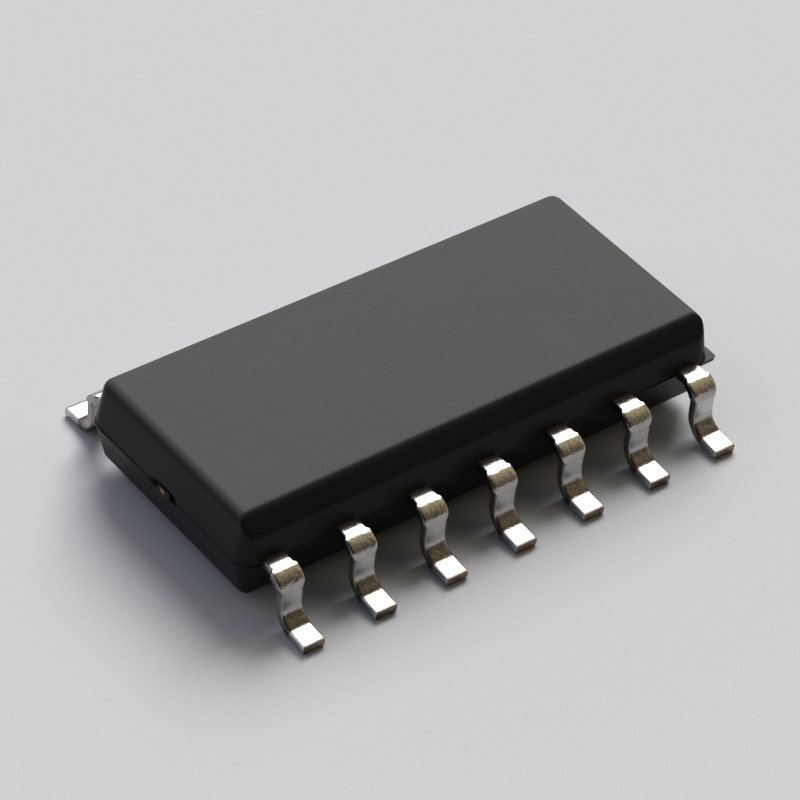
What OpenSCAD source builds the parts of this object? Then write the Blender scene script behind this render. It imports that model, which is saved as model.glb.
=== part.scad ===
// Fourteen-lead small-outline chip: a moulded body with gull-wing leads, and the die inside it.
// Millimetres. The leads stand on Z = 0, the body is centred over the origin, and the lead rows
// run along X. Leads count from the left of the front row, anticlockwise seen from above.

/* [Moulded body] */
// Length at the parting line, along the lead rows
body_length = 8.65; // [8.5:0.05:9.4]
// Width at the parting line, from row to row
body_width = 3.9; // [3.7:0.05:4.1]
// Clear height under the body
standoff = 0.22; // [0.05:0.01:0.25]
// Height of the top face above the board
body_top = 1.67; // [1.5:0.01:1.9]
// Height of the parting line, level with the middle of the lead frame
parting_height = 0.915; // [0.85:0.005:1.0]
// How far the upper walls lean in, from the parting line to the top face
top_draft = 0.13; // [0.08:0.01:0.14]
// How far the lower walls lean in, from the parting line to the underside
low_draft = 0.17; // [0.1:0.01:0.19]
// Corner radius at the parting line, seen from above
corner_radius = 0.295; // [0.28:0.005:0.4]
// Rounding of the edges round the top face
top_edge_radius = 0.17; // [0.05:0.01:0.18]
// Rounding of the edges round the underside
low_edge_radius = 0.12; // [0.05:0.01:0.14]

/* [Mould marks] */
// How far the parting ledge stands out
ledge_out = 0.02; // [0.01:0.005:0.05]
// Thickness of the parting ledge
ledge_thickness = 0.03; // [0.02:0.005:0.06]
// How far the flash fin stands out at the right end
fin_out = 0.11; // [0.06:0.005:0.2]
// Length of the flash fin along the right end
fin_length = 3.88; // [3:0.02:3.88]
// Thickness of the flash fin
fin_thickness = 0.07; // [0.04:0.005:0.12]
// Corner radius of the flash fin
fin_corner = 0.07; // [0.05:0.01:0.2]
// Width of the notch chipped out above the tie bar at the left end
notch_width = 0.7; // [0.4:0.05:1.2]
// Height of the notch
notch_height = 0.09; // [0.04:0.01:0.2]
// Depth of the notch into the end wall
notch_depth = 0.08; // [0.04:0.01:0.15]
// How far the notch lies to the back of the tie bar
notch_shift = 0.04; // [-0.1:0.01:0.1]
// Diameter of the ejector marks under the body
ejector_diameter = 1.0; // [0.6:0.05:1.4]
// Depth of the ejector marks
ejector_depth = 0.03; // [0.01:0.005:0.05]
// Distance between the two ejector marks
ejector_spacing = 5.2; // [3:0.1:6]

/* [Leads] */
// Distance from lead to lead
lead_pitch = 1.27; // [1.2:0.01:1.3]
// Span over the tips of the two rows
lead_span = 6.0; // [5.85:0.05:6.4]
// Thickness of the lead frame
lead_thickness = 0.15; // [0.12:0.01:0.18]
// How far inside the parting line the plated shoulder starts
root_inset = 0.19; // [0.15:0.01:0.22]
// Width of a lead at its root, leg and foot
lead_width = 0.385; // [0.3:0.005:0.45]
// Width round the upper bend, where the dam bar was cut away
bend_width = 0.46; // [0.46:0.01:0.6]
// Rounding of the plated edges
lead_edge_radius = 0.035; // [0.01:0.005:0.05]
// Inner radius of the upper bend
shoulder_bend = 0.05; // [0.03:0.01:0.12]
// Radius of the lower bend, on the side that faces out
heel_bend = 0.2; // [0.1:0.01:0.25]
// Length of the flat sole
sole_length = 0.365; // [0.3:0.005:0.45]
// How far the leg leans out, from upright
leg_lean = 0; // [0:0.5:8]
// Run before the upper bend in which the lead widens
flare_run = 0.04; // [0.02:0.005:0.08]
// Run below the upper bend in which the lead narrows again
neck_run = 0.1; // [0.05:0.005:0.15]

/* [Fingers inside] */
// Length that a finger keeps the lead's width behind the plated shoulder
finger_root = 0.14; // [0.1:0.01:0.2]
// Width of a finger at its tip
finger_tip_width = 0.26; // [0.2:0.01:0.3]
// Distance between finger tips along the paddle
finger_tip_pitch = 0.8; // [0.7:0.05:0.9]
// Gap between a finger tip and the paddle
finger_gap = 0.3; // [0.2:0.01:0.35]
// How far the end fingers' tips lie in from the paddle's long edge
end_finger_inset = 0.3; // [0.2:0.01:0.35]

/* [Paddle and die] */
// Length of the paddle
paddle_length = 3.2; // [2.8:0.05:3.6]
// Width of the paddle
paddle_width = 1.9; // [1.7:0.05:2.0]
// How far the paddle is pressed down below the fingers
paddle_downset = 0.2; // [0.1:0.01:0.25]
// Width of the tie bars
tie_width = 0.28; // [0.2:0.01:0.35]
// Flat run of a tie bar between the paddle and its slope
tie_flat = 0.2; // [0.1:0.01:0.4]
// Run of the slope of a tie bar
tie_slope = 0.4; // [0.3:0.01:0.6]
// Thickness of the adhesive under the die
attach_thickness = 0.025; // [0.015:0.005:0.04]
// How far the adhesive spreads past the die
attach_spread = 0.04; // [0.02:0.01:0.1]
// Length of the die
die_length = 2.2; // [1.8:0.05:2.4]
// Width of the die
die_width = 1.4; // [1.2:0.05:1.5]
// Thickness of the die
die_thickness = 0.25; // [0.2:0.01:0.3]

/* [Bond wires] */
// Diameter of a bond wire
wire_diameter = 0.03; // [0.02:0.005:0.04]
// Diameter of the bonded ball
ball_diameter = 0.075; // [0.05:0.005:0.09]
// Height of the bonded ball
ball_height = 0.02; // [0.01:0.005:0.03]
// Height of the straight rise above the ball
wire_rise = 0.09; // [0.05:0.01:0.15]
// Radius of the bend at the top of the rise
wire_bend = 0.06; // [0.04:0.01:0.08]
// Distance from the edge of the die to the row of balls
ball_inset = 0.1; // [0.08:0.01:0.15]
// Distance from a finger's tip to its wire
stitch_inset = 0.16; // [0.1:0.01:0.25]

/* [Hidden] */
$fn = 48;
ARC_STEPS = 5;
EDGE_STEPS = 3;
LEADS_PER_SIDE = 7;
LEAD_COUNT = 2 * LEADS_PER_SIDE;
END_PLACE = (LEADS_PER_SIDE - 1) / 2;

// Plan of the parting line
half_length = body_length / 2;
half_width = body_width / 2;
ledge_edge = half_length + ledge_out;
fin_edge = half_length + fin_out;

// Heights of the lead frame and of the stack on the paddle
frame_mid = parting_height;
frame_top = frame_mid + lead_thickness / 2;
frame_bottom = frame_mid - lead_thickness / 2;
paddle_top = frame_top - paddle_downset;
paddle_bottom = paddle_top - lead_thickness;
attach_top = paddle_top + attach_thickness;
die_top = attach_top + die_thickness;

// Side view of a formed lead: out from the centre line, and up from the board
bend_mid = shoulder_bend + lead_thickness / 2;
heel_mid = heel_bend + lead_thickness / 2;
leg_drop = frame_mid - lead_thickness / 2 - (bend_mid + heel_mid) * (1 - sin(leg_lean));
leg_length = leg_drop / cos(leg_lean);
bend_reach = (bend_mid + heel_mid) * cos(leg_lean) + leg_length * sin(leg_lean);
bend_out = lead_span / 2 - sole_length - bend_reach;
// The plated shoulder starts behind the body wall, where the finger ends
root_out = half_width - root_inset;
shoulder_length = bend_out - root_out;

// Side of lead n: -1 on the front row, 1 on the back row
function row_side(n) = n <= LEADS_PER_SIDE ? -1 : 1;

// Place of lead n along its row, counted from the middle, to the right
function place(n) = n <= LEADS_PER_SIDE
    ? n - 1 - END_PLACE
    : LEAD_COUNT - n - END_PLACE;

// Is lead n one of the four at the ends of the rows?
function at_end(n) = abs(place(n)) == END_PLACE;

// Points of a rounding of radius r about a centre
function arc(centre, r, from, to, steps) = [
    for (i = [0 : steps])
        let (a = from + (to - from) * i / steps)
        centre + r * [cos(a), sin(a)]
];

// Points of a centred rectangle with rounded corners
function rounded_rectangle(size, r, steps) = [
    for (q = [0 : 3])
        let (sx = q == 0 || q == 3 ? 1 : -1, sy = q < 2 ? 1 : -1)
        each arc([sx * (size[0] / 2 - r), sy * (size[1] / 2 - r)], r, 90 * q, 90 * q + 90, steps)
];

// Outline of one body wall in section: out to the parting line at `reach`, and up
function wall_profile(reach) =
    let (
        low_lean = atan(low_draft / (parting_height - standoff)),
        top_lean = atan(top_draft / (body_top - parting_height)),
        low_start = reach - low_draft - low_edge_radius * tan(45 - low_lean / 2),
        top_end = reach - top_draft - top_edge_radius * tan(45 - top_lean / 2)
    )
    concat(
        [[0, standoff]],
        arc([low_start, standoff + low_edge_radius], low_edge_radius, -90, -low_lean, ARC_STEPS),
        [[reach, parting_height]],
        arc([top_end, body_top - top_edge_radius], top_edge_radius, top_lean, 90, ARC_STEPS),
        [[0, body_top]]
    );

// Section of the body from wall to wall
module body_section(reach) {
    wall = wall_profile(reach);
    far_wall = [for (i = [len(wall) - 2 : -1 : 1]) [-wall[i][0], wall[i][1]]];
    polygon(concat(wall, far_wall));
}

// Drafted walls with turned corners
module body_block() {
    core_x = half_length - corner_radius;
    core_y = half_width - corner_radius;
    rotate([90, 0, 90])
        linear_extrude(2 * core_x, center = true)
            body_section(half_width);
    rotate([90, 0, 0])
        linear_extrude(2 * core_y, center = true)
            body_section(half_length);
    for (quarter = [0 : 3])
        let (sx = quarter == 0 || quarter == 3 ? 1 : -1, sy = quarter < 2 ? 1 : -1)
        translate([sx * core_x, sy * core_y, 0])
            rotate(90 * quarter)
                rotate_extrude(angle = 90)
                    polygon(wall_profile(corner_radius));
}

// Thin ledge where the two mould halves met
module parting_ledge() {
    size = [2 * ledge_edge, body_width + 2 * ledge_out];
    translate([0, 0, parting_height - ledge_thickness / 2])
        linear_extrude(ledge_thickness)
            polygon(rounded_rectangle(size, corner_radius + ledge_out, ARC_STEPS));
}

// Flash left in the vent at the right end
module flash_fin() {
    depth = fin_out + corner_radius - fin_corner;
    translate([fin_edge - depth / 2, 0, parting_height - fin_thickness])
        linear_extrude(fin_thickness)
            polygon(rounded_rectangle([depth, fin_length], fin_corner, ARC_STEPS));
}

// Chip knocked out of the left end where the tie bar was cut
module end_notch() {
    outside = 2 * ledge_out;
    translate([-half_length, notch_shift, parting_height])
        rotate([90, 0, 0])
            linear_extrude(notch_width, center = true)
                polygon([
                    [-outside, 0],
                    [notch_depth, 0],
                    [notch_depth / 2, notch_height],
                    [-outside, notch_height]
                ]);
}

// Round marks of the ejector pins under the body
module ejector_marks() {
    for (s = [-1, 1])
        translate([s * ejector_spacing / 2, 0, 0])
            cylinder(d = ejector_diameter, h = standoff + ejector_depth);
}

// Moulding compound, with pockets that fit everything cast into it
module moulded_body() {
    color("#2b2b2d")
        difference() {
            union() {
                body_block();
                parting_ledge();
                flash_fin();
            }
            end_notch();
            ejector_marks();
            for (n = [1 : LEAD_COUNT]) {
                lead_inside(n);
                bond_wire(n);
            }
            die_pad(ledge_edge);
            die_attach();
            silicon_die();
        }
}

// Cross-section of a plated lead: thickness, then width
module lead_section(width) {
    polygon(rounded_rectangle([lead_thickness, width], lead_edge_radius, EDGE_STEPS));
}

// Straight run of lead along +X, then what follows it
module straight(length, width) {
    rotate([90, 0, 90])
        linear_extrude(length)
            lead_section(width);
    translate([length, 0])
        children();
}

// Moves what follows to the end of a downward bend
module past_bend(radius, turn) {
    translate([0, -radius])
        rotate(-turn)
            translate([0, radius])
                children();
}

// Downward bend of a lead, then what follows it
module bend_down(radius, turn, width) {
    translate([0, -radius])
        rotate(90)
            rotate_extrude(angle = -turn)
                translate([radius, 0])
                    lead_section(width);
    past_bend(radius, turn)
        children();
}

// Upward bend of a lead, then what follows it
module bend_up(radius, turn, width) {
    mirror([0, 1, 0])
        bend_down(radius, turn, width)
            mirror([0, 1, 0])
                children();
}

// Straight run of lead from one width to another, then what follows it
module taper(length, width, next_width) {
    slice = length / 10;
    hull() {
        straight(slice, width);
        translate([length - slice, 0])
            straight(slice, next_width);
    }
    translate([length, 0])
        children();
}

// Outer part of a lead in side view, as the forming tool bends it: X out, Y up, width along Z
module formed_lead() {
    straight(shoulder_length - flare_run, lead_width)
        taper(flare_run, lead_width, bend_width)
            bend_down(bend_mid, 90 - leg_lean, bend_width)
                taper(neck_run, bend_width, lead_width)
                    straight(leg_length - neck_run, lead_width)
                        bend_up(heel_mid, 90 - leg_lean, lead_width)
                            straight(sole_length, lead_width);
}

// Tip of finger n beside the paddle: along its row, and out from the centre line
function finger_tip(n) = at_end(n)
    ? [sign(place(n)) * (paddle_length / 2 + finger_gap), paddle_width / 2 - end_finger_inset]
    : [place(n) * finger_tip_pitch, paddle_width / 2 + finger_gap];

// Where finger n turns towards the paddle
function finger_knee(n) = [place(n) * lead_pitch, root_out - finger_root];

// Direction of finger n from its tip to its knee
function finger_run(n) =
    let (v = finger_knee(n) - finger_tip(n))
    v / norm(v);

// Flat finger of lead n, from the plated shoulder to the paddle
module finger(n) {
    run = finger_run(n);
    half_tip = [run[1], -run[0]] * finger_tip_width / 2;
    half_root = [lead_width / 2, 0];
    root = [place(n) * lead_pitch, root_out];
    translate([0, 0, frame_bottom])
        linear_extrude(lead_thickness)
            polygon([
                finger_tip(n) - half_tip,
                finger_tip(n) + half_tip,
                finger_knee(n) + half_root,
                root + half_root,
                root - half_root,
                finger_knee(n) - half_root
            ]);
}

// Turns a row's own view, with Y out from the centre line, to the side that lead n is on
module on_row(n) {
    mirror([0, row_side(n) < 0 ? 1 : 0, 0])
        children();
}

// Puts a lead's side view at the root of lead n
module at_root(n) {
    translate([place(n) * lead_pitch, root_out, frame_mid])
        rotate([90, 0, 90])
            children();
}

// The part of lead n that the moulding grips, with the run of its shoulder
module lead_inside(n) {
    on_row(n) {
        finger(n);
        at_root(n)
            straight(shoulder_length, lead_width);
    }
}

// One lead of the frame, from its finger to its foot
module lead(n) {
    color("#c8c4bb")
        on_row(n) {
            finger(n);
            at_root(n)
                formed_lead();
        }
}

// Tie bar from the middle of the paddle out to its cut end
module tie_bar(end) {
    slope_start = paddle_length / 2 + tie_flat;
    slope_end = slope_start + tie_slope;
    rotate([90, 0, 0])
        linear_extrude(tie_width, center = true)
            polygon([
                [0, paddle_bottom],
                [slope_start, paddle_bottom],
                [slope_end, frame_bottom],
                [end, frame_bottom],
                [end, frame_top],
                [slope_end, frame_top],
                [slope_start, paddle_top],
                [0, paddle_top]
            ]);
}

// Paddle that carries the die, with the tie bars that held it in the frame
module die_pad(left_end = half_length) {
    color("#b98a63") {
        translate([-paddle_length / 2, -paddle_width / 2, paddle_bottom])
            cube([paddle_length, paddle_width, lead_thickness]);
        tie_bar(fin_edge);
        mirror([1, 0, 0])
            tie_bar(left_end);
    }
}

// Adhesive layer between paddle and die
module die_attach() {
    size = [die_length + 2 * attach_spread, die_width + 2 * attach_spread];
    color("#b9bcc0")
        translate([0, 0, paddle_top])
            linear_extrude(attach_thickness)
                polygon(rounded_rectangle(size, attach_spread, ARC_STEPS));
}

// The silicon chip
module silicon_die() {
    color("#5c6068")
        translate([-die_length / 2, -die_width / 2, attach_top])
            cube([die_length, die_width, die_thickness]);
}

// Place of ball n on the die, in its row's own view
function ball_at(n) = [
    place(n) * (die_length / 2 - ball_inset) / END_PLACE,
    die_width / 2 - ball_inset
];

// Place of the stitch on finger n
function stitch_at(n) = finger_tip(n) + finger_run(n) * stitch_inset;

// Wire n: up from its ball, over a bend, and down in a straight run to its finger
module bond_wire(n) {
    span = stitch_at(n) - ball_at(n);
    bend_height = die_top + ball_height + wire_rise;
    reach = norm(span) - wire_bend;
    drop = bend_height - frame_top;
    run = sqrt(reach * reach + drop * drop - wire_bend * wire_bend);
    // Fall of the straight run below the level, to a hundredth of a degree
    fall = round(100 * (atan(wire_bend / run) + atan(drop / reach))) / 100;
    color("#d8a93a")
        on_row(n)
            translate([ball_at(n)[0], ball_at(n)[1], 0])
                rotate(atan2(span[1], span[0])) {
                    translate([0, 0, die_top]) {
                        cylinder(d = ball_diameter, h = ball_height);
                        cylinder(d = wire_diameter, h = ball_height + wire_rise);
                    }
                    difference() {
                        translate([wire_bend, 0, bend_height])
                            rotate([90, 0, 0])
                                rotate(90 - fall)
                                    wire_over(90 + fall, run + wire_diameter / sin(fall));
                        below_finger_top(norm(span));
                    }
                }
}

// Bend of a wire about the Z axis, and its straight run onwards
module wire_over(turn, length) {
    rotate_extrude(angle = turn)
        translate([wire_bend, 0])
            circle(d = wire_diameter);
    translate([wire_bend, 0, 0])
        rotate([90, 0, 0])
            cylinder(d = wire_diameter, h = length);
}

// Space under the top of the fingers, along a wire
module below_finger_top(length) {
    translate([0, -wire_diameter, 0])
        cube([2 * length, 2 * wire_diameter, frame_top]);
}

moulded_body();
for (n = [1 : LEAD_COUNT])
    lead(n);
die_pad();
die_attach();
silicon_die();
for (n = [1 : LEAD_COUNT])
    bond_wire(n);
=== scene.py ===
import math
import bpy
import numpy as np
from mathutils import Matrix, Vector, noise
from mathutils.geometry import delaunay_2d_cdt


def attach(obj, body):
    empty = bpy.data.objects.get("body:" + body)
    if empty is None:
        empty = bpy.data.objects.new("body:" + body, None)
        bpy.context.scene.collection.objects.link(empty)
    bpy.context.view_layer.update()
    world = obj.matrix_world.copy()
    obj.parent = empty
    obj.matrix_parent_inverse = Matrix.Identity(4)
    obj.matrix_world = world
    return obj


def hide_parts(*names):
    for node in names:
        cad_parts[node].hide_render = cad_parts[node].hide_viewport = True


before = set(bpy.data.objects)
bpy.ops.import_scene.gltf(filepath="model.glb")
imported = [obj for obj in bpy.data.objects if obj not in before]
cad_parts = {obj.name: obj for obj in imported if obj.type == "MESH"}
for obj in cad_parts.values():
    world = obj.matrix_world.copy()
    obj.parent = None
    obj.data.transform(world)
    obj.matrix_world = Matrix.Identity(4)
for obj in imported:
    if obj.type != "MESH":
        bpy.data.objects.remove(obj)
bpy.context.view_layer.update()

# Moulded body: one block of black epoxy compound, pressed round the lead frame in a two-part steel mould.
# Its walls are drafted from the parting line, where a thin lip of flash runs all round. The right end keeps
# a flat fin from the mould's vent, and the left end is chipped where the frame was cut away.
MM = 0.001  # metres in a millimetre; the sizes are in mm
half_length, half_width = 4.325, 1.95
underside, parting_height, body_top = 0.22, 0.915, 1.67
low_draft, top_draft = 0.17, 0.13
low_edge, top_edge = 0.12, 0.17
corner_radius = 0.295
right_upright = 0.009
bevel_foot, bevel_head = (-1.871, 1.374), (-1.59, 1.67)
bevel_softness, bevel_reach = 0.03, 0.15
lip_out, lip_thickness = 0.02, 0.03
lip_usual, lip_swing, lip_least = 0.72, 0.45, 0.3
fin_edge, fin_half, fin_thickness, fin_corner = half_length + 0.11, 1.94, 0.07, 0.07
fin_raggedness = 0.10
notch_middle, notch_half, notch_height, notch_depth = 0.04, 0.35, 0.12, 0.055
notch_side_swing, notch_top_swing, notch_coarse, notch_fine = 0.22, 0.3, 0.25, 0.15
tie_half, tie_clear = 0.14, 0.02
ejector_places, ejector_radius, ejector_depth = (-2.6, 2.6), 0.5, 0.03
core_x, core_y = half_length - corner_radius, half_width - corner_radius


def wander(x, y, z, scale):
    """Smooth unevenness from -1 to 1 at a place in mm, with about `scale` humps to a millimetre."""
    return noise.noise(Vector((x, y, z)) * scale)


def round_the_body(long_steps, short_steps, corner_steps):
    """Places on the rectangle between the corner centres, once round, and the way out from each."""
    places, ways = [], []
    sides = [
        ((core_x, -core_y), (core_x, core_y), short_steps, 0),
        ((core_x, core_y), (-core_x, core_y), long_steps, 90),
        ((-core_x, core_y), (-core_x, -core_y), short_steps, 180),
        ((-core_x, -core_y), (core_x, -core_y), long_steps, 270),
    ]
    for start, end, steps, facing in sides:
        for i in range(steps):
            places.append(np.array(start) + (np.array(end) - np.array(start)) * i / steps)
            ways.append((math.cos(math.radians(facing)), math.sin(math.radians(facing))))
        for i in range(corner_steps):
            turned = math.radians(facing + 90 * i / corner_steps)
            places.append(np.array(end))
            ways.append((math.cos(turned), math.sin(turned)))
    return np.array(places), np.array(ways)


places, ways = round_the_body(140, 170, 14)
at_left_end = ways[:, 0] < -0.999


def fin_reach(place, way):
    """How far out along `way` the outline of the fin lies."""
    if way[0] < 0.05 or place[0] < 0:
        return 0.0
    side = abs(way[1])
    reach = (fin_edge - core_x) / way[0]
    if side > 1e-6:
        reach = min(reach, (fin_half - core_y) / side)
    turn_x, turn_y = fin_edge - fin_corner, fin_half - fin_corner
    x, y = abs(place[0] + way[0] * reach), abs(place[1] + way[1] * reach)
    if x > turn_x and y > turn_y:
        from_x, from_y = abs(place[0]) - turn_x, abs(place[1]) - turn_y
        along = from_x * way[0] + from_y * side
        reach = -along + math.sqrt(max(along ** 2 - from_x ** 2 - from_y ** 2 + fin_corner ** 2, 0))
    return reach


fin_out = np.array([max(fin_reach(p, w) - corner_radius, 0) for p, w in zip(places, ways)])
fin_ragged = np.array([abs(wander(p[0], p[1] + w[1], 3.0, 5.0)) for p, w in zip(places, ways)])
fin_out = fin_out * (1 - fin_raggedness * fin_ragged)
fin_here = np.clip(fin_out / lip_out, 0, 1)
lip_rise = np.array([wander(p[0] + w[0], p[1] + w[1], 7.0, 3.0) for p, w in zip(places, ways)])
lip_here = lip_out * np.clip(lip_usual + lip_swing * lip_rise, lip_least, 1)
lip_here[at_left_end & (np.abs(places[:, 1]) < tie_half + tie_clear)] = 0.0


def wall_inset(z):
    """How far the drafted wall lies inside the parting line at height z."""
    if z > parting_height:
        return top_draft * (z - parting_height) / (body_top - parting_height)
    return low_draft * (parting_height - z) / (parting_height - underside)


def chipped(radius, z):
    """The same ring with the left end broken away above the tie bar."""
    up = (z - parting_height) / notch_height
    ring = np.array(radius, float)
    if not -0.2 < up < 1.5:
        return ring
    for i in np.flatnonzero(at_left_end):
        y = places[i][1]
        rough = wander(0.0, y, z, 9.0)
        fine = wander(3.0, y, z, 26.0)
        across = abs(y - notch_middle) / (notch_half * (1 + notch_side_swing * rough))
        if across < 1 and up < 1 + notch_top_swing * wander(5.0, y, 0.0, 7.0):
            deep = notch_depth * (1 - max(up, 0) ** 2) * min(1, 2.5 * (1 - across))
            deep *= 1 + notch_coarse * rough + notch_fine * fine
            ring[i] = min(ring[i], corner_radius - deep)
    return ring


body_rings = []
plain = np.ones(len(places))
low_lean = math.atan(low_draft / (parting_height - underside))
top_lean = math.atan(top_draft / (body_top - parting_height))
low_turn = low_draft + low_edge * math.tan(math.pi / 4 - low_lean / 2)
top_turn = top_draft + top_edge * math.tan(math.pi / 4 - top_lean / 2)
flat_margin = 0.006
low_edge_steps, top_edge_steps = 8, 13
body_rings.append(((corner_radius - low_turn - flat_margin) * plain, underside * plain))
for i in range(low_edge_steps + 1):
    a = math.radians(-90) + (math.radians(90) - low_lean) * i / low_edge_steps
    inset = low_turn - low_edge * math.cos(a)
    z = underside + low_edge * (1 + math.sin(a))
    body_rings.append(((corner_radius - inset) * plain, z * plain))
fin_bottom = parting_height - fin_thickness
for z in np.linspace(underside + low_edge + 0.02, fin_bottom, 14):
    body_rings.append(((corner_radius - wall_inset(z)) * plain, z * plain))
lip_bottom, lip_top = parting_height - lip_thickness / 2, parting_height + lip_thickness / 2
for fin_z, fin_share, lip_z, lip_share in (
    (fin_bottom + 0.001, 0.95, fin_bottom + 0.003, 0.0),
    (fin_bottom + 0.008, 1.0, fin_bottom + 0.012, 0.0),
    (fin_bottom + 0.03, 1.0, fin_bottom + 0.03, 0.0),
    (lip_bottom - 0.002, 1.0, lip_bottom - 0.001, 0.0),
    (lip_bottom + 0.001, 1.0, lip_bottom + 0.001, 0.55),
    (lip_bottom + 0.004, 1.0, lip_bottom + 0.004, 0.9),
    (parting_height - 0.007, 1.0, parting_height - 0.006, 1.0),
    (parting_height - 0.001, 0.95, parting_height, 1.0),
):
    z = lip_z + (fin_z - lip_z) * fin_here
    wall = np.array([corner_radius - wall_inset(v) for v in z])
    body_rings.append((np.maximum(wall + fin_out * fin_share, wall + lip_here * lip_share), z))
for lip_z, lip_share in (
    (parting_height + 0.001, 1.0),
    (parting_height + 0.007, 1.0),
    (lip_top - 0.004, 0.9),
    (lip_top - 0.001, 0.55),
    (lip_top + 0.001, 0.0),
):
    ring = corner_radius - wall_inset(lip_z) + lip_here * lip_share
    body_rings.append((chipped(ring, lip_z), lip_z * plain))
arc_start = body_top - top_edge * (1 - math.sin(top_lean))
notch_rows = np.linspace(lip_top + 0.010, parting_height + 0.18, 15)
wall_rows = np.linspace(parting_height + 0.22, arc_start - 0.02, 11)
for z in np.concatenate((notch_rows, wall_rows)):
    body_rings.append((chipped((corner_radius - wall_inset(z)) * plain, z), z * plain))
for i in range(top_edge_steps + 1):
    a = top_lean + (math.radians(90) - top_lean) * i / top_edge_steps
    inset = top_turn - top_edge * math.cos(a)
    z = body_top - top_edge * (1 - math.sin(a))
    body_rings.append(((corner_radius - inset) * plain, z * plain))
body_rings.append(((corner_radius - top_turn - flat_margin) * plain, body_top * plain))

around = len(places)
points, faces = [], []
for radius, z in body_rings:
    for i in range(around):
        x, y = places[i] + ways[i] * radius[i]
        if x > 0 and z[i] > parting_height:
            x *= 1 + right_upright * (z[i] - parting_height)
        points.append((x, y, z[i]))
top_rim = points[-around:]
for inward in (0.03, 0.06, 0.085, 0.11, 0.15):
    shrink_x, shrink_y = 1 - inward / (half_length - top_turn), 1 - inward / (half_width - top_turn)
    points += [(x * shrink_x, y * shrink_y, z) for x, y, z in top_rim]
bevel_run = math.dist(bevel_foot, bevel_head)
bevel_y = (bevel_foot[1] - bevel_head[1]) / bevel_run
bevel_z = (bevel_head[0] - bevel_foot[0]) / bevel_run


def past_bevel(y, z):
    """How far a place stands out past the flat of the bevel."""
    return (y - bevel_foot[0]) * bevel_y + (z - bevel_foot[1]) * bevel_z


bevel_over = [past_bevel(y, z) for x, y, z in points]
for i, over in enumerate(bevel_over):
    if over > -bevel_reach:
        x, y, z = points[i]
        cut_back = (over + math.hypot(over, bevel_softness)) / 2
        points[i] = (x, y - cut_back * bevel_y, z - cut_back * bevel_z)
for k in range(len(points) // around - 1):
    for i in range(around):
        j = (i + 1) % around
        faces.append((k * around + i, k * around + j, (k + 1) * around + j, (k + 1) * around + i))

top_start = len(points) - around
faces.append(tuple(range(top_start, top_start + around)))
ejector_steps = 48
bottom = [Vector(p[:2]) for p in points[:around]]
ejector_rims = []
for middle in ejector_places:
    turns = [math.tau * i / ejector_steps for i in range(ejector_steps)]
    ejector_rims.append(
        [Vector((middle + ejector_radius * math.cos(a), ejector_radius * math.sin(a))) for a in turns])
seam = [(i, (i + 1) % around) for i in range(around)]
for r in range(len(ejector_rims)):
    first = around + r * ejector_steps
    seam += [(first + i, first + (i + 1) % ejector_steps) for i in range(ejector_steps)]
flat = delaunay_2d_cdt(bottom + [p for rim in ejector_rims for p in rim], seam, [], 1, 1e-7)
flat_points, flat_faces, sources = flat[0], flat[2], flat[3]
first_rim = len(points)
for rim in ejector_rims:
    points += [(p.x, p.y, underside) for p in rim]
where = []
for source in sources:
    where.append(source[0] if source[0] < around else first_rim + source[0] - around)
for face in flat_faces:
    middle = sum((flat_points[i] for i in face), Vector((0, 0))) / len(face)
    if all((middle - Vector((x, 0))).length > ejector_radius * 0.999 for x in ejector_places):
        faces.append(tuple(where[i] for i in reversed(face)))
for r, middle in enumerate(ejector_places):
    before = first_rim + r * ejector_steps
    for share, rise in ((0.99, 0.12), (0.985, 0.8), (0.96, 1.0), (0.9, 1.0)):
        start = len(points)
        for p in ejector_rims[r]:
            x = middle + (p.x - middle) * share
            points.append((x, p.y * share, underside + ejector_depth * rise))
        for i in range(ejector_steps):
            j = (i + 1) % ejector_steps
            faces.append((before + i, start + i, start + j, before + j))
        before = start
    faces.append(tuple(before + i for i in reversed(range(ejector_steps))))


def solid(name, points, faces, sharp=35):
    """A closed piece from points in mm, smooth except at edges sharper than `sharp` degrees."""
    mesh = bpy.data.meshes.new(name)
    mesh.from_pydata([(x * MM, y * MM, z * MM) for x, y, z in points], [], faces)
    mesh.validate()
    mesh.shade_smooth()
    mesh.set_sharp_from_angle(angle=math.radians(sharp))
    piece = bpy.data.objects.new(name, mesh)
    bpy.context.scene.collection.objects.link(piece)
    return piece


def note(piece, name, values):
    """Keeps one number for each point of a piece, for its finish to read."""
    kept_values = piece.data.attributes.new(name, "FLOAT", "POINT").data
    kept_values.foreach_set("value", np.array(values, np.float32))


body = solid("moulded_block", points, faces)
# Mask of the top face: it sets the top's matt roughness, and the painted light that makes the top lighter
# than the walls.
matt_lit_start, matt_lit_rise = body_top - top_edge * 0.6, top_edge * 0.54
matt_lit_past_bevel, matt_lit_fade = 0.012, 0.045
facing_up, broken = [], []
for x, y, z in points:
    up = min(max((z - matt_lit_start) / matt_lit_rise, 0), 1) ** 1.5
    facing_up.append(up * min(max((matt_lit_past_bevel - past_bevel(y, z)) / matt_lit_fade, 0), 1))
    wall = -half_length + wall_inset(z)
    near = abs(y - notch_middle) < notch_half * 1.3
    near = near and parting_height - 0.02 < z < parting_height + notch_height * 1.4
    broken.append(1.0 if near and wall + 0.012 < x < wall + 0.2 else 0.0)
note(body, "top_face", facing_up)
note(body, "broken", broken)


def new_finish(name, constants):
    """A material with these constant sockets on its shader."""
    made = bpy.data.materials.new(name)
    made.use_nodes = True
    shader = made.node_tree.nodes["Principled BSDF"]
    for socket, value in constants.items():
        shader.inputs[socket].default_value = value
    return made, shader


def step(made, kind, inputs, settings=()):
    """One node of a finish; an input is a number, a colour or another node's output."""
    node = made.node_tree.nodes.new("ShaderNode" + kind)
    for name, value in settings:
        setattr(node, name, value)
    for socket, value in inputs.items():
        if isinstance(value, bpy.types.NodeSocket):
            made.node_tree.links.new(value, node.inputs[socket])
        else:
            node.inputs[socket].default_value = value
    return node


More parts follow.
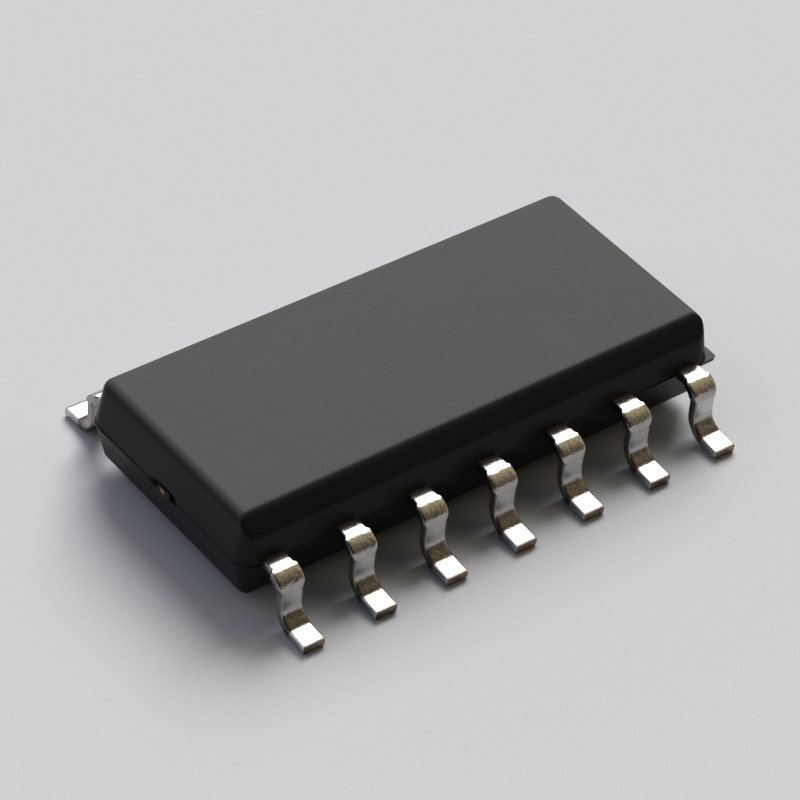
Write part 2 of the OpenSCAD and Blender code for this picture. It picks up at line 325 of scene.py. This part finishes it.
def spread(made, value, low, high, to_low, to_high):
    """A number moved from one range to another, and held inside it."""
    node = step(made, "MapRange", {0: value, 1: low, 2: high, 3: to_low, 4: to_high})
    return node.outputs[0]


def mix(made, share, first, second):
    """A colour between two others."""
    node = step(made, "Mix", {0: share, 6: first, 7: second}, [("data_type", "RGBA")])
    return node.outputs[2]


def grains(made, place, scale, detail=2.0, rough=0.5):
    """Cloudy unevenness with about `scale` grains to a metre."""
    node = step(made, "TexNoise", {"Vector": place, "Scale": scale, "Detail": detail, "Roughness": rough})
    return node.outputs[0]


def join(made, first, second, how):
    """Two numbers put together."""
    return step(made, "Math", {0: first, 1: second}, [("operation", how)]).outputs[0]


def kept(made, name):
    """The number that note() kept for each point."""
    return step(made, "Attribute", {}, [("attribute_name", name)]).outputs["Fac"]


def bump(made, shader, height, distance):
    """Fine relief of this height in metres."""
    node = step(made, "Bump", {"Height": height, "Strength": 1.0, "Distance": distance})
    made.node_tree.links.new(node.outputs[0], shader.inputs["Normal"])


compound, shader = new_finish("black_compound", {"IOR": 1.5, "Specular IOR Level": 0.1})
place = step(compound, "TexCoord", {}).outputs["Object"]
top_face = kept(compound, "top_face")
fresh_break = kept(compound, "broken")
spark = grains(compound, place, 38000, 3.0, 0.65)
cloud = grains(compound, place, 900, 2.0)
filler = step(compound, "TexVoronoi", {"Vector": place, "Scale": 21000}).outputs["Distance"]
# Painted light and shade: the top is painted several times lighter than the walls, where the lamp catches
# it, and the walls darker, where they face away into shade.
shaded_wall_colour = mix(compound, cloud, (0.010, 0.010, 0.0115, 1), (0.0145, 0.0145, 0.016, 1))
lit_top_colour = mix(compound, cloud, (0.062, 0.062, 0.0625, 1), (0.073, 0.073, 0.073, 1))
colour = mix(compound, top_face, shaded_wall_colour, lit_top_colour)
speck = join(compound, spread(compound, spark, 0.58, 0.78, 0, 1),
             spread(compound, filler, 0.1, 0.4, 1, 0), "MULTIPLY")
colour = mix(compound, spread(compound, speck, 0, 1, 0, 0.35), colour, (0.16, 0.16, 0.155, 1))
dust_cells = step(compound, "TexVoronoi", {"Vector": place, "Scale": 1500})
dust_chance = step(compound, "SeparateColor", {0: dust_cells.outputs["Color"]}).outputs[0]
dust = join(compound, spread(compound, dust_cells.outputs["Distance"], 0.02, 0.035, 1, 0),
            spread(compound, dust_chance, 0.93, 0.94, 0, 1), "MULTIPLY")
colour = mix(compound, dust, colour, (0.55, 0.55, 0.53, 1))
colour = mix(compound, spread(compound, fresh_break, 0.2, 0.9, 0, 1), colour, (0.036, 0.036, 0.038, 1))
compound.node_tree.links.new(colour, shader.inputs["Base Color"])
matt = spread(compound, top_face, 0, 1, 0.36, 0.58)
matt = join(compound, matt, spread(compound, spark, 0.3, 0.7, -0.05, 0.06), "ADD")
compound.node_tree.links.new(matt, shader.inputs["Roughness"])
relief = join(compound, spark, spread(compound, filler, 0, 0.5, 0.3, 0), "ADD")
relief = join(compound, relief, spread(compound, top_face, 0, 1, 0.5, 1.0), "MULTIPLY")
bump(compound, shader, relief, 2.2e-6)
body.data.materials.append(compound)
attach(body, "root")
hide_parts("moulded_body")

# Leads: fourteen strips stamped from copper alloy sheet with the frame, cast into the body, plated with
# matt tin, cut free and bent to gull wings in a forming tool. Each is wider round its upper bend, where the
# bar between the leads was cut out. The strained bends are tinted gold, partly as painted reflection of the
# warm room. The heel, a band below the upper bend and the root by the body are painted dark as painted
# shade. The leg is duller, and the tip is cut bare.
lead_pitch = 1.27
lead_thickness = 0.15
lead_width, bend_width = 0.385, 0.46
lead_edge, stamped_edge = 0.035, 0.004
edge_swing, tip_shrink, tip_taper = 0.0025, 0.006, 0.012
frame_middle = parting_height
root_out, sag_out, leg_out, tip_out = 1.76, 2.065, 2.36, 3.0
sag_middle, bend_middle, heel_middle = 0.42, 0.205, 0.355
sag, neck_turn, toe_down = 10, 70, 5
neck_width, neck_run = lead_width + 0.014, 0.06
finger_tip_width, finger_tip_pitch = 0.26, 0.8
paddle_half_length, paddle_half_width = 1.6, 0.95
finger_gap, end_finger_inset, finger_root = 0.3, 0.3, 0.14
leg_middle, foot_rings = 0.5, 8
lead_marks = ("strain", "cut", "flank", "pressed", "painted_shade", "drawn_leg")


def lead_path():
    """The formed lead in side view, root to tip: out, height, turn down, width, strain and run."""
    path = []
    out, height, turn, run = root_out, frame_middle, 0.0, 0.0

    def stop(width, strain):
        path.append((out, height, turn, width, strain, run))

    def go(length):
        nonlocal out, height, run
        out += length * math.cos(math.radians(turn))
        height -= length * math.sin(math.radians(turn))
        run += length

    def widen(length, start, end, steps):
        for i in range(1, steps + 1):
            go(length / steps)
            stop(start + (end - start) * (0.5 - 0.5 * math.cos(math.pi * i / steps)), 0.0)

    def curve(radius, whole, start, end, steps, strained):
        nonlocal turn
        for i in range(1, steps + 1):
            turn += whole / steps / 2
            go(2 * radius * math.sin(math.radians(abs(whole) / steps / 2)))
            turn += whole / steps / 2
            stop(start + (end - start) * i / steps, strained * math.sin(math.radians(2 * turn)))

    stop(lead_width, 0.0)
    widen(sag_out - root_out, lead_width, lead_width, 6)
    curve(sag_middle, sag, lead_width, lead_width, 6, 0.0)
    bend_out = leg_out - bend_middle * (1 - math.sin(math.radians(sag)))
    widen((bend_out - out) / math.cos(math.radians(sag)), lead_width, bend_width, 8)
    curve(bend_middle, neck_turn - sag, bend_width, bend_width, 24, 1.0)
    curve(bend_middle, 90 - neck_turn, bend_width, neck_width, 8, 1.0)
    widen(neck_run, neck_width, lead_width, 5)
    toe_turn = math.radians(toe_down)
    toe_out = tip_out - lead_thickness / 2 * math.sin(toe_turn)
    toe_height = lead_thickness / 2 * math.cos(toe_turn)
    heel_out = leg_out + heel_middle * (1 - math.sin(toe_turn))
    heel_height = toe_height + (toe_out - heel_out) * math.tan(toe_turn)
    widen(height - heel_height - heel_middle * math.cos(toe_turn), lead_width, lead_width, 5)
    curve(heel_middle, toe_down - 90, lead_width, lead_width, 28, 1.0)
    foot = (toe_out - heel_out) / math.cos(toe_turn)
    widen(foot * 0.97, lead_width, lead_width, 5)
    widen(foot * 0.03, lead_width, lead_width - tip_taper, 1)
    return path


def edge_walk(half_across, half_thick, rounding):
    """Points of the strip's section, once round: across and up from its middle."""
    walk = []
    flat_x, flat_y = half_across - rounding, half_thick - rounding
    for quarter, (sx, sy) in enumerate(((1, 1), (-1, 1), (-1, -1), (1, -1))):
        for i in range(6):
            a = math.radians(90 * quarter + 90 * i / 5)
            walk.append((sx * flat_x + rounding * math.cos(a), sy * flat_y + rounding * math.sin(a)))
        if quarter in (0, 2):
            steps, end = 8, (-sx * flat_x, sy * half_thick)
        else:
            steps, end = 3, (sx * half_across, -sy * flat_y)
        start = walk[-1]
        for i in range(1, steps):
            across = start[0] + (end[0] - start[0]) * i / steps
            walk.append((across, start[1] + (end[1] - start[1]) * i / steps))
    return walk


tin, shader = new_finish("matt_tin", {"Metallic": 1.0})
place = step(tin, "TexCoord", {}).outputs["Object"]
bent, cut_face, side_face = kept(tin, "strain"), kept(tin, "cut"), kept(tin, "flank")
fine = grains(tin, place, 60000, 3.0, 0.6)
soft = grains(tin, place, 6000, 2.0)
peel = grains(tin, place, 16000, 2.0)
# The bends are tinted gold where the tool strained them: partly dulled tin, partly painted reflection of
# the warm room.
strain_and_warm_reflection = join(tin, bent, spread(tin, soft, 0.3, 0.7, 0.55, 1.0), "MULTIPLY")
colour = mix(tin, spread(tin, soft, 0.35, 0.65, 0, 1), (0.62, 0.61, 0.60, 1), (0.545, 0.535, 0.52, 1))
colour = mix(tin, spread(tin, strain_and_warm_reflection, 0, 1, 0, 0.6), colour, (0.56, 0.51, 0.43, 1))
# Painted shade and dark reflection: the heel, a band below the upper bend and the root by the body are
# painted dark brown.
colour = mix(tin, kept(tin, "painted_shade"), colour, (0.13, 0.115, 0.105, 1))
# Flanks: the sheared edges are darker, and are painted darker still high up as painted shade from the body.
colour = mix(tin, spread(tin, side_face, 0, 1, 0, 0.6), colour, (0.20, 0.19, 0.20, 1))
bare = join(tin, cut_face, spread(tin, soft, 0.35, 0.6, 1.0, 0.55), "MULTIPLY")
colour = mix(tin, bare, colour, (0.14, 0.07, 0.045, 1))
tin.node_tree.links.new(colour, shader.inputs["Base Color"])
matt = spread(tin, fine, 0.3, 0.7, 0.12, 0.18)
pressed_foot, drawn_leg = kept(tin, "pressed"), kept(tin, "drawn_leg")
for mark, duller in ((side_face, 0.12), (pressed_foot, 0.08), (drawn_leg, 0.18), (cut_face, 0.15)):
    matt = join(tin, matt, spread(tin, mark, 0, 1, 0, duller), "ADD")
tin.node_tree.links.new(matt, shader.inputs["Roughness"])
relief = join(tin, spread(tin, peel, 0.3, 0.7, 0, 1), spread(tin, bent, 0, 1, 0.1, 1.6), "MULTIPLY")
bump(tin, shader, join(tin, relief, fine, "ADD"), 2.0e-6)

path = lead_path()
last_stop = len(path) - 1
count = len(edge_walk(1, 1, 0.1))
for number in range(1, 15):
    front = number <= 7
    along = number - 4 if front else 11 - number
    side = -1 if front else 1
    middle = along * lead_pitch
    if abs(along) == 3:
        tip = (math.copysign(paddle_half_length + finger_gap, along), paddle_half_width - end_finger_inset)
    else:
        tip = (along * finger_tip_pitch, paddle_half_width + finger_gap)
    knee = (middle, root_out - finger_root)
    lean = math.atan2(knee[0] - tip[0], knee[1] - tip[1])
    points = []
    for (x, out), turned, width in ((tip, lean, finger_tip_width), (knee, 0.0, lead_width)):
        for across, up in edge_walk(width / 2, lead_thickness / 2, stamped_edge):
            y = side * (out - across * math.sin(turned))
            points.append((x + across * math.cos(turned), y, frame_middle + up))
    marks = {mark: [0.0] * len(points) for mark in lead_marks}
    for k, (out, height, turn, width, strain, run) in enumerate(path):
        down = math.radians(turn)
        ragged = edge_swing * wander(middle, side, run, 8.0)
        shrink = tip_shrink if k == last_stop else 0.0
        rounding = stamped_edge if k == 0 else lead_edge
        # Flank darkening is weak low down and full high up: partly sheared edge, partly painted shade.
        side_dark = np.interp(height, (0.25, 0.5), (0.3, 1))
        # Where the tin is painted dark as painted shade: a band below the upper bend, the root next to the
        # body wall, and round the heel.
        if height > leg_middle:
            neck = np.interp(height, (0.62, 0.68, 0.72, 0.747, 0.77, 0.79, 0.80),
                             (0, 0.12, 0.32, 0.45, 0.45, 0.2, 0))
            root_painted_shade = np.interp(out, (1.97, 2.03, 2.06, 2.11), (0, 0.35, 0.45, 0))
            painted_shade_share = max(neck, root_painted_shade)
        else:
            painted_shade_share = np.interp(turn, (8, 14, 22, 60, 82, 90), (0, 1, 1, 0.2, 0.25, 0))
        leg = np.interp(height, (0.28, 0.36, 0.66, 0.74), (0, 1, 1, 0))
        for across, up in edge_walk(width / 2 - abs(ragged), lead_thickness / 2 - shrink, rounding):
            y = side * (out + up * math.sin(down))
            points.append((middle + across, y, height + up * math.cos(down)))
            marks["strain"].append(strain)
            marks["cut"].append(1.0 if k == last_stop else 0.0)
            marks["flank"].append(side_dark if abs(across) > width / 2 - lead_edge * 0.5 else 0.0)
            marks["pressed"].append(1.0 if k > last_stop - foot_rings else 0.0)
            marks["painted_shade"].append(painted_shade_share)
            marks["drawn_leg"].append(leg)
    rings = len(points) // count
    faces = []
    for k in range(rings - 1):
        for i in range(count):
            j = (i + 1) % count
            quad = (k * count + i, k * count + j, (k + 1) * count + j, (k + 1) * count + i)
            faces.append(quad if front else quad[::-1])
    inner_end, outer_end = tuple(range(count)), tuple(range((rings - 1) * count, rings * count))
    faces += [inner_end[::-1], outer_end] if front else [inner_end, outer_end[::-1]]
    lead = solid("formed_lead_%d" % number, points, faces)
    for mark, values in marks.items():
        note(lead, mark, values)
    lead.data.materials.append(tin)
    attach(lead, "root")
    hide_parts("lead_%d" % number)

# Die pad: the paddle in the middle of the stamped copper frame, pressed down a step, with a tie bar to each
# end of the body. The tie bars were cut off at the ends, so their copper faces show there. They are stained
# dark, but for a bare spot on the left one.
cut_from, cut_to = 4.20, 4.25
bare_spot = (-half_length * MM, notch_middle * MM, 0.92 * MM)
copper, shader = new_finish("frame_copper", {"Metallic": 1.0})
place = step(copper, "TexCoord", {}).outputs["Object"]
rolled = step(copper, "Mapping", {"Vector": place, "Scale": (2000, 60000, 60000)}).outputs[0]
lines = grains(copper, rolled, 1.0, 3.0)
tarnish = grains(copper, place, 3500, 2.0)
colour = mix(copper, spread(copper, tarnish, 0.35, 0.7, 0, 1), (0.78, 0.52, 0.34, 1), (0.55, 0.38, 0.26, 1))
endways = step(copper, "SeparateXYZ", {0: place}).outputs[0]
cut_end = spread(copper, join(copper, endways, 0, "ABSOLUTE"), cut_from * MM, cut_to * MM, 0, 1)
from_spot = step(copper, "VectorMath", {0: place, 1: bare_spot}, [("operation", "DISTANCE")])
stain = spread(copper, from_spot.outputs["Value"], 0.02 * MM, 0.06 * MM, 0.55, 1)
stain = join(copper, cut_end, stain, "MULTIPLY")
colour = mix(copper, stain, colour, (0.025, 0.022, 0.02, 1))
copper.node_tree.links.new(colour, shader.inputs["Base Color"])
copper.node_tree.links.new(spread(copper, lines, 0.3, 0.7, 0.28, 0.45), shader.inputs["Roughness"])
bump(copper, shader, lines, 1.0e-6)


def dress(name, made):
    """Gives a solid of the frame its finish."""
    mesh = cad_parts[name].data
    mesh.materials.clear()
    mesh.materials.append(made)


dress("die_pad", copper)

# Die attach: a thin bed of silver-filled adhesive that holds the chip on the paddle.
# It is squeezed out a little past the chip's edges.
adhesive, shader = new_finish("silver_adhesive", {"Metallic": 0.6})
place = step(adhesive, "TexCoord", {}).outputs["Object"]
flakes = step(adhesive, "TexVoronoi", {"Vector": place, "Scale": 60000}).outputs["Color"]
shade = step(adhesive, "SeparateColor", {0: flakes}).outputs[0]
colour = mix(adhesive, shade, (0.46, 0.45, 0.43, 1), (0.70, 0.69, 0.67, 1))
adhesive.node_tree.links.new(colour, shader.inputs["Base Color"])
adhesive.node_tree.links.new(spread(adhesive, shade, 0, 1, 0.4, 0.6), shader.inputs["Roughness"])
bump(adhesive, shader, shade, 1.5e-6)
dress("die_attach", adhesive)

# Chip: a sawn square of polished silicon with the circuit on its top face.
# Its sides keep the marks of the saw.
silicon, shader = new_finish("silicon", {"Metallic": 0.7})
place = step(silicon, "TexCoord", {}).outputs["Object"]
blocks = step(silicon, "TexVoronoi", {"Vector": place, "Scale": 9000}, [("distance", "CHEBYCHEV")])
shade = step(silicon, "SeparateColor", {0: blocks.outputs["Color"]}).outputs[0]
colour = mix(silicon, shade, (0.16, 0.17, 0.20, 1), (0.30, 0.29, 0.30, 1))
silicon.node_tree.links.new(colour, shader.inputs["Base Color"])
silicon.node_tree.links.new(spread(silicon, shade, 0, 1, 0.12, 0.25), shader.inputs["Roughness"])
bump(silicon, shader, shade, 0.6e-6)
dress("silicon_die", silicon)

# Bond wires: fourteen fine gold wires, each pressed as a ball on the chip and stitched to a finger.
# They are drawn wire, so their surface is bright with faint lines.
gold, shader = new_finish("gold_wire", {"Metallic": 1.0})
place = step(gold, "TexCoord", {}).outputs["Object"]
drawn = grains(gold, place, 50000, 2.0)
colour = mix(gold, drawn, (0.86, 0.60, 0.24, 1), (0.94, 0.70, 0.32, 1))
gold.node_tree.links.new(colour, shader.inputs["Base Color"])
gold.node_tree.links.new(spread(gold, drawn, 0.3, 0.7, 0.15, 0.28), shader.inputs["Roughness"])
bump(gold, shader, drawn, 0.5e-6)
for number in range(1, 15):
    dress("bond_wire_%d" % number, gold)

# Floor: a plain pale sheet under the part, with a faint grain.
# It belongs to the studio, not to the part.
floor_mesh = bpy.data.meshes.new("floor")
floor_half = 0.6
floor_corners = [(-floor_half, -floor_half, 0), (floor_half, -floor_half, 0),
                 (floor_half, floor_half, 0), (-floor_half, floor_half, 0)]
floor_mesh.from_pydata(floor_corners, [], [(0, 1, 2, 3)])
floor = bpy.data.objects.new("floor", floor_mesh)
bpy.context.scene.collection.objects.link(floor)
pale, shader = new_finish("pale_floor", {"Roughness": 0.9, "Specular IOR Level": 0.2})
place = step(pale, "TexCoord", {}).outputs["Object"]
tone = grains(pale, place, 20000, 4.0, 0.6)
colour = mix(pale, spread(pale, tone, 0.35, 0.65, 0, 1), (0.60, 0.605, 0.635, 1), (0.635, 0.64, 0.67, 1))
pale.node_tree.links.new(colour, shader.inputs["Base Color"])
floor_mesh.materials.append(pale)

# Light: one wide soft lamp high behind the right end, and a pale wall that glows behind the left end.
# The rest of the room is dim, with a warm glow to the right.
scene = bpy.context.scene
lamp_way = Vector((0.514, 0.517, 0.685)).normalized()
lamp_data = bpy.data.lights.new("lamp", "SUN")
lamp_data.angle = math.radians(39)
lamp_data.energy = 3.27
lamp_data.color = (1.0, 0.99, 0.97)
lamp = bpy.data.objects.new("lamp", lamp_data)
lamp.rotation_euler = lamp_way.to_track_quat("Z", "Y").to_euler()
scene.collection.objects.link(lamp)
world = bpy.data.worlds.new("room")
scene.world = world
world.use_nodes = True
look = step(world, "TexCoord", {}).outputs["Generated"]


def glow(way, shades):
    """Light that comes from around one way; each shade is a closeness to it and a colour."""
    way = Vector(way).normalized()
    close = step(world, "VectorMath", {0: look, 1: way}, [("operation", "DOT_PRODUCT")])
    ramp = step(world, "ValToRGB", {0: spread(world, close.outputs["Value"], -1, 1, 0, 1)})
    stops = ramp.color_ramp.elements
    while len(stops) < len(shades):
        stops.new(1.0)
    for stop, (closeness, shade) in zip(stops, shades):
        stop.position = (closeness + 1) / 2
        stop.color = (*shade, 1)
    return ramp.outputs[0]


pale_wall = glow((-0.399, 0.829, 0.393), [
    (0.0, (0.008, 0.008, 0.009)), (0.3, (0.021, 0.022, 0.027)),
    (0.6, (0.112, 0.12, 0.148)), (0.8, (0.73, 0.765, 0.86)),
])
warm_side = glow((0.9, 0.1, 0.42), [
    (0.1, (0.0, 0.0, 0.0)), (0.2, (0.02, 0.017, 0.013)), (0.43, (0.09, 0.076, 0.056)),
    (0.62, (0.16, 0.136, 0.093)), (0.764, (0.33, 0.285, 0.18)), (0.82, (0.60, 0.52, 0.33)),
    (0.88, (0.62, 0.545, 0.37)), (0.93, (0.2, 0.18, 0.13)),
])
room = step(world, "VectorMath", {0: pale_wall, 1: warm_side}, [("operation", "ADD")]).outputs["Vector"]
world.node_tree.links.new(room, world.node_tree.nodes["Background"].inputs["Color"])
scene.view_settings.view_transform = "Standard"

# Camera: close above the left front corner with a long lens.
# It has no shift and no blur.
camera_data = bpy.data.cameras.new("camera")
camera_data.lens = 169.164
camera_data.sensor_width = 36
camera_data.clip_start, camera_data.clip_end = 0.001, 10
camera = bpy.data.objects.new("camera", camera_data)
camera.location = (-27.7765 * MM, -31.7104 * MM, 36.8479 * MM)
camera.rotation_euler = [math.radians(a) for a in (49.2016, -4.4831, -37.2688)]
scene.collection.objects.link(camera)
scene.camera = camera
